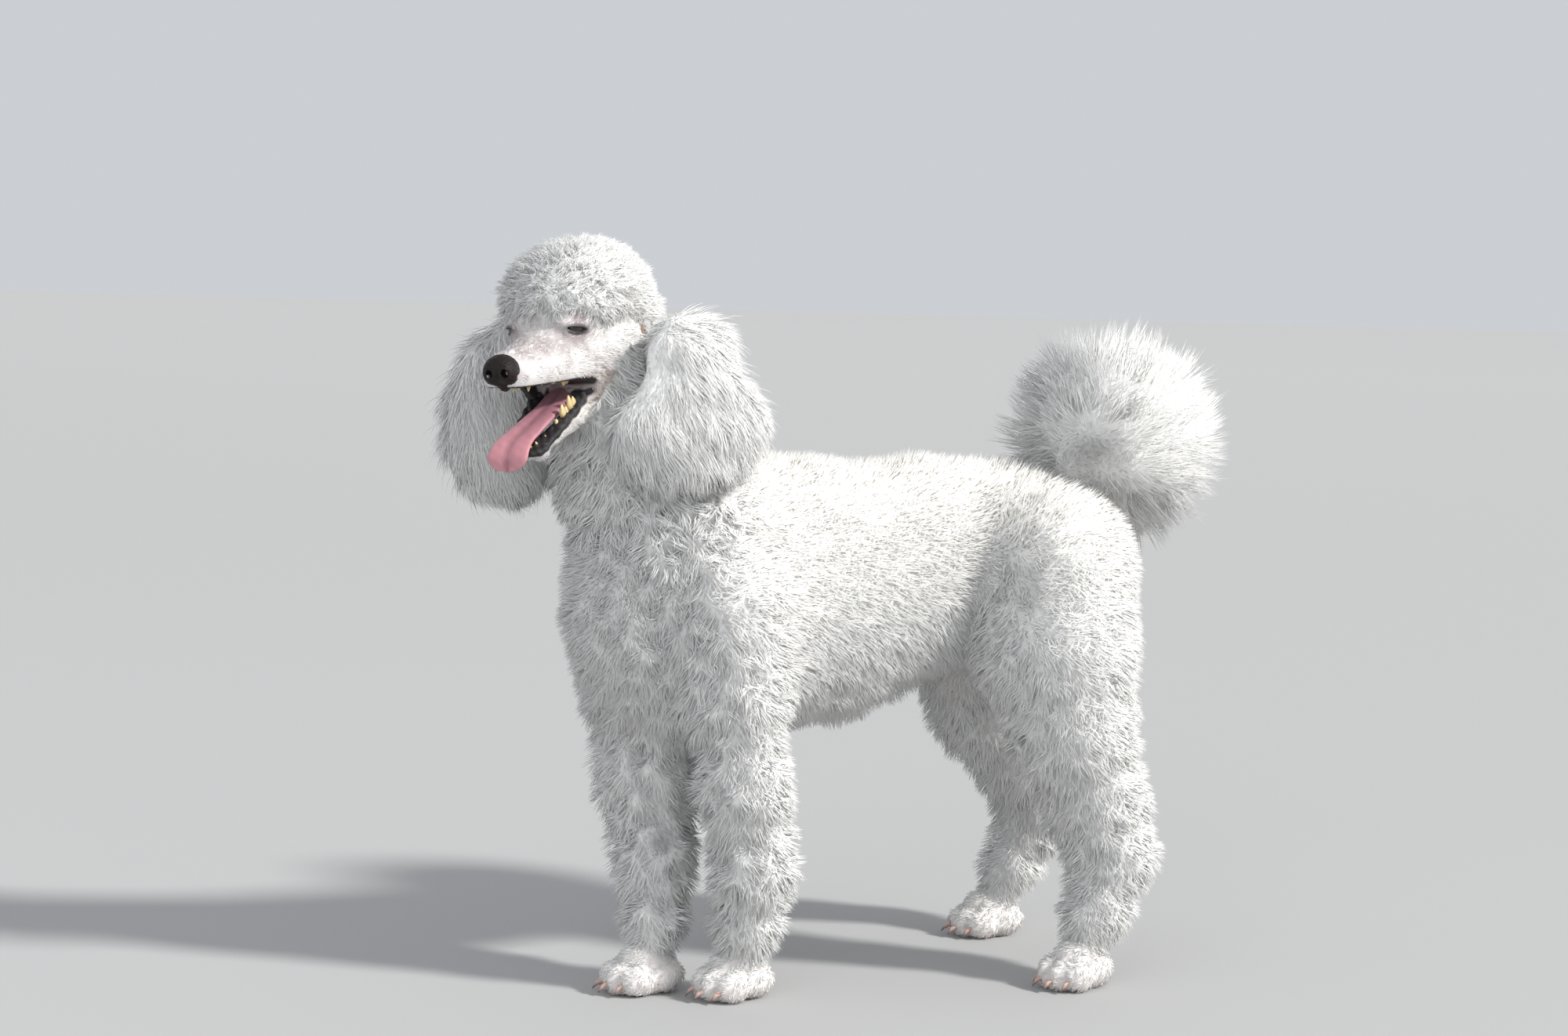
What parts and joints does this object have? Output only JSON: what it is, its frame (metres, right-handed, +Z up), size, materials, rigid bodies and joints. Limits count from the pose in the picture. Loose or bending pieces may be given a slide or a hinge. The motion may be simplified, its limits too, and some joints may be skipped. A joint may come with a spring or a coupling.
{
  "type": "standard poodle",
  "caption": "Life-size still model of a standing white standard poodle in a lamb trim, head turned to its left with the mouth open and the tail pompon raised.",
  "frame": {"origin": "on the floor under the middle of the bounding box", "axes": "+X from the chest to the tail, +Z up; the dog's left side faces -Y"},
  "size_m": [0.9522, 0.378, 0.8252],
  "materials": {
    "coat_white": "soft matt hair",
    "coat_cream": "soft matt hair, slightly creamier on the back",
    "nose_leather": "moist, fine-grained",
    "tongue": "wet",
    "eye": "wet",
    "claw": "satin horn"
  },
  "bodies": {
    "root": {"claw_front_left_1": "claw", "claw_front_left_2": "claw", "claw_front_left_3": "claw", "claw_front_left_4": "claw", "claw_front_right_1": "claw", "claw_front_right_2": "claw", "claw_front_right_3": "claw", "claw_front_right_4": "claw", "claw_hind_left_1": "claw", "claw_hind_left_2": "claw", "claw_hind_left_3": "claw", "claw_hind_left_4": "claw", "claw_hind_right_1": "claw", "claw_hind_right_2": "claw", "claw_hind_right_3": "claw", "claw_hind_right_4": "claw", "trunk": "coat_cream", "neck": "coat_white", "head": "coat_white", "lower_jaw": "coat_white", "nose": "nose_leather", "tongue": "tongue", "eye_left": "eye", "eye_right": "eye", "topknot": "coat_white", "ear_left": "coat_white", "ear_right": "coat_white", "tail": "coat_white", "leg_front_left": "coat_white", "paw_front_left": "coat_white", "leg_front_right": "coat_white", "paw_front_right": "coat_white", "leg_hind_left": "coat_white", "paw_hind_left": "coat_white", "leg_hind_right": "coat_white", "paw_hind_right": "coat_white"}
  },
  "joints": []
}
